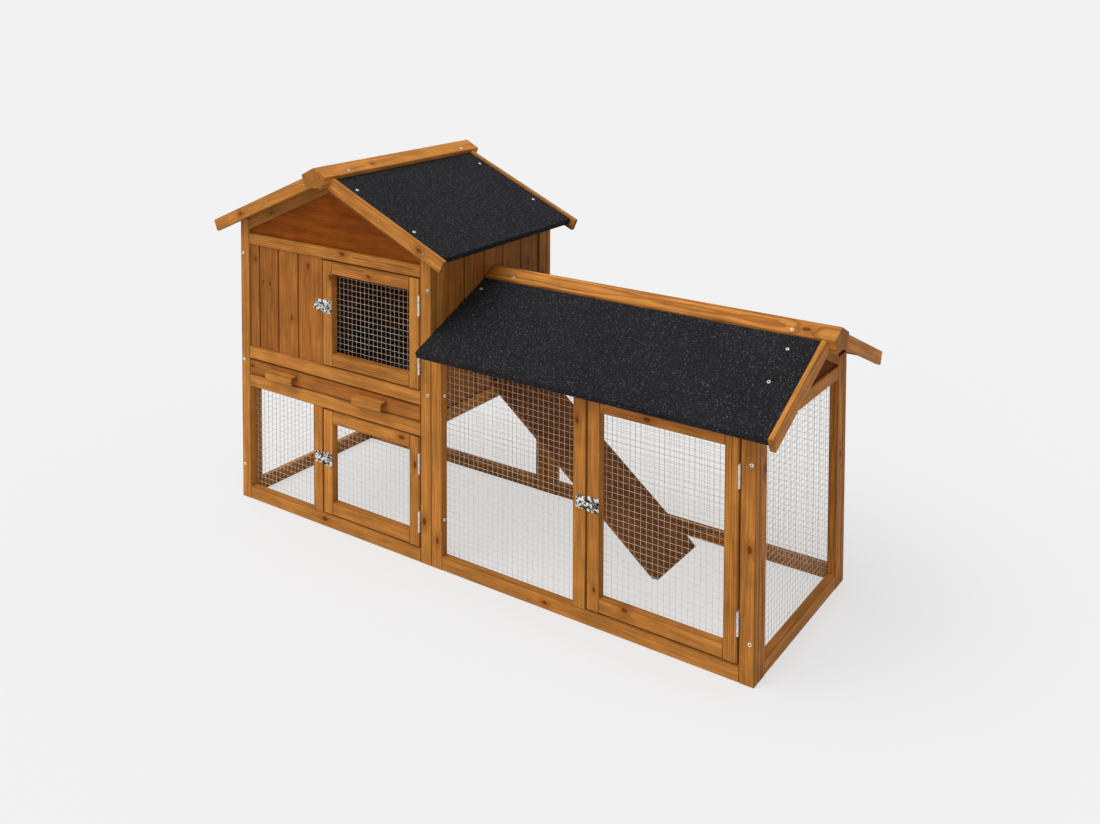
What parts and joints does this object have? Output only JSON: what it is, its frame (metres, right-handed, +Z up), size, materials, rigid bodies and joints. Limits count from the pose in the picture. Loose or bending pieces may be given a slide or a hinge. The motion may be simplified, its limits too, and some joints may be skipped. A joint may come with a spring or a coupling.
{
  "type": "rabbit hutch",
  "caption": "Two-storey wooden rabbit hutch: a gabled house with a pull-out tray over a netted space, and a lower gabled run with a ramp, netted doors and felted roofs.",
  "frame": {"origin": "on the ground under the middle of the bounding box", "axes": "+X from the house to the run, +Y from the front to the back, +Z up"},
  "size_m": [1.4724, 0.5636, 0.8359],
  "materials": {
    "stained_wood": "stained, satin",
    "gable_panel": "stained dark, satin",
    "roofing_felt": "mineral-surfaced bitumen felt",
    "galvanised_wire": "galvanised",
    "zinc_fittings": "zinc plated",
    "tray_sheet": "galvanised"
  },
  "bodies": {
    "hutch": {"house_front_posts": "stained_wood", "house_front_rails": "stained_wood", "front_boards": "stained_wood", "gable_rafters": "stained_wood", "house_left_frame": "stained_wood", "left_wall_boards": "stained_wood", "house_right_frame": "stained_wood", "right_wall_boards": "stained_wood", "house_back_frame": "stained_wood", "back_wall_boards": "stained_wood", "house_roof_board_left": "stained_wood", "house_roof_board_right": "stained_wood", "house_ridge_beam": "stained_wood", "house_rakes": "stained_wood", "drawer_runners": "stained_wood", "run_front_posts": "stained_wood", "run_front_rails": "stained_wood", "run_end_frame": "stained_wood", "run_back_frame": "stained_wood", "run_roof_board_front": "stained_wood", "run_roof_board_back": "stained_wood", "run_ridge_beam": "stained_wood", "run_rakes": "stained_wood", "ramp_board": "stained_wood", "front_gable_panel": "gable_panel", "back_gable_panel": "gable_panel", "run_end_gable_panel": "gable_panel", "house_felt_left": "roofing_felt", "house_felt_right": "roofing_felt", "run_felt_front": "roofing_felt", "run_felt_back": "roofing_felt", "left_mesh": "galvanised_wire", "back_mesh": "galvanised_wire", "lower_front_mesh": "galvanised_wire", "run_front_mesh": "galvanised_wire", "run_end_mesh": "galvanised_wire", "run_back_mesh": "galvanised_wire", "frame_screws": "zinc_fittings", "roof_screws": "zinc_fittings", "latch_keepers": "zinc_fittings", "hinge_post_leaves": "zinc_fittings"},
    "upper_door": {"upper_door_frame": "stained_wood", "upper_door_mesh": "galvanised_wire", "upper_door_hinge_leaves": "zinc_fittings", "upper_door_latch_plate": "zinc_fittings"},
    "upper_door_latch": {"upper_door_latch_turn": "zinc_fittings"},
    "lower_door": {"lower_door_frame": "stained_wood", "lower_door_mesh": "galvanised_wire", "lower_door_hinge_leaves": "zinc_fittings", "lower_door_latch_plate": "zinc_fittings"},
    "lower_door_latch": {"lower_door_latch_turn": "zinc_fittings"},
    "run_door": {"run_door_frame": "stained_wood", "run_door_mesh": "galvanised_wire", "run_door_hinge_leaves": "zinc_fittings", "run_door_latch_plate": "zinc_fittings"},
    "run_door_latch": {"run_door_latch_turn": "zinc_fittings"},
    "drawer": {"drawer_front": "stained_wood", "drawer_tray": "tray_sheet", "drawer_pulls": "stained_wood"}
  },
  "joints": [
    {"name": "upper_door_swing", "type": "hinge", "parent": "hutch", "child": "upper_door", "pos_m": [-0.11226, -0.2278, 0.497], "axis": [0, 0, 1], "range_deg": [0, 110]},
    {"name": "upper_door_latch_turn", "type": "hinge", "parent": "upper_door", "child": "upper_door_latch", "pos_m": [-0.38696, -0.2294, 0.512], "axis": [0, 1, 0], "range_deg": [0, 90]},
    {"name": "lower_door_swing", "type": "hinge", "parent": "hutch", "child": "lower_door", "pos_m": [-0.11226, -0.2278, 0.153], "axis": [0, 0, 1], "range_deg": [0, 150]},
    {"name": "lower_door_latch_turn", "type": "hinge", "parent": "lower_door", "child": "lower_door_latch", "pos_m": [-0.38696, -0.2294, 0.159], "axis": [0, 1, 0], "range_deg": [0, 90]},
    {"name": "run_door_swing", "type": "hinge", "parent": "hutch", "child": "run_door", "pos_m": [0.63374, -0.2278, 0.244], "axis": [0, 0, 1], "range_deg": [0, 150]},
    {"name": "run_door_latch_turn", "type": "hinge", "parent": "run_door", "child": "run_door_latch", "pos_m": [0.32674, -0.2294, 0.243], "axis": [0, 1, 0], "range_deg": [0, 90]},
    {"name": "drawer_slide", "type": "slide", "parent": "hutch", "child": "drawer", "axis": [0, -1, 0], "range_m": [0, 0.39]}
  ]
}
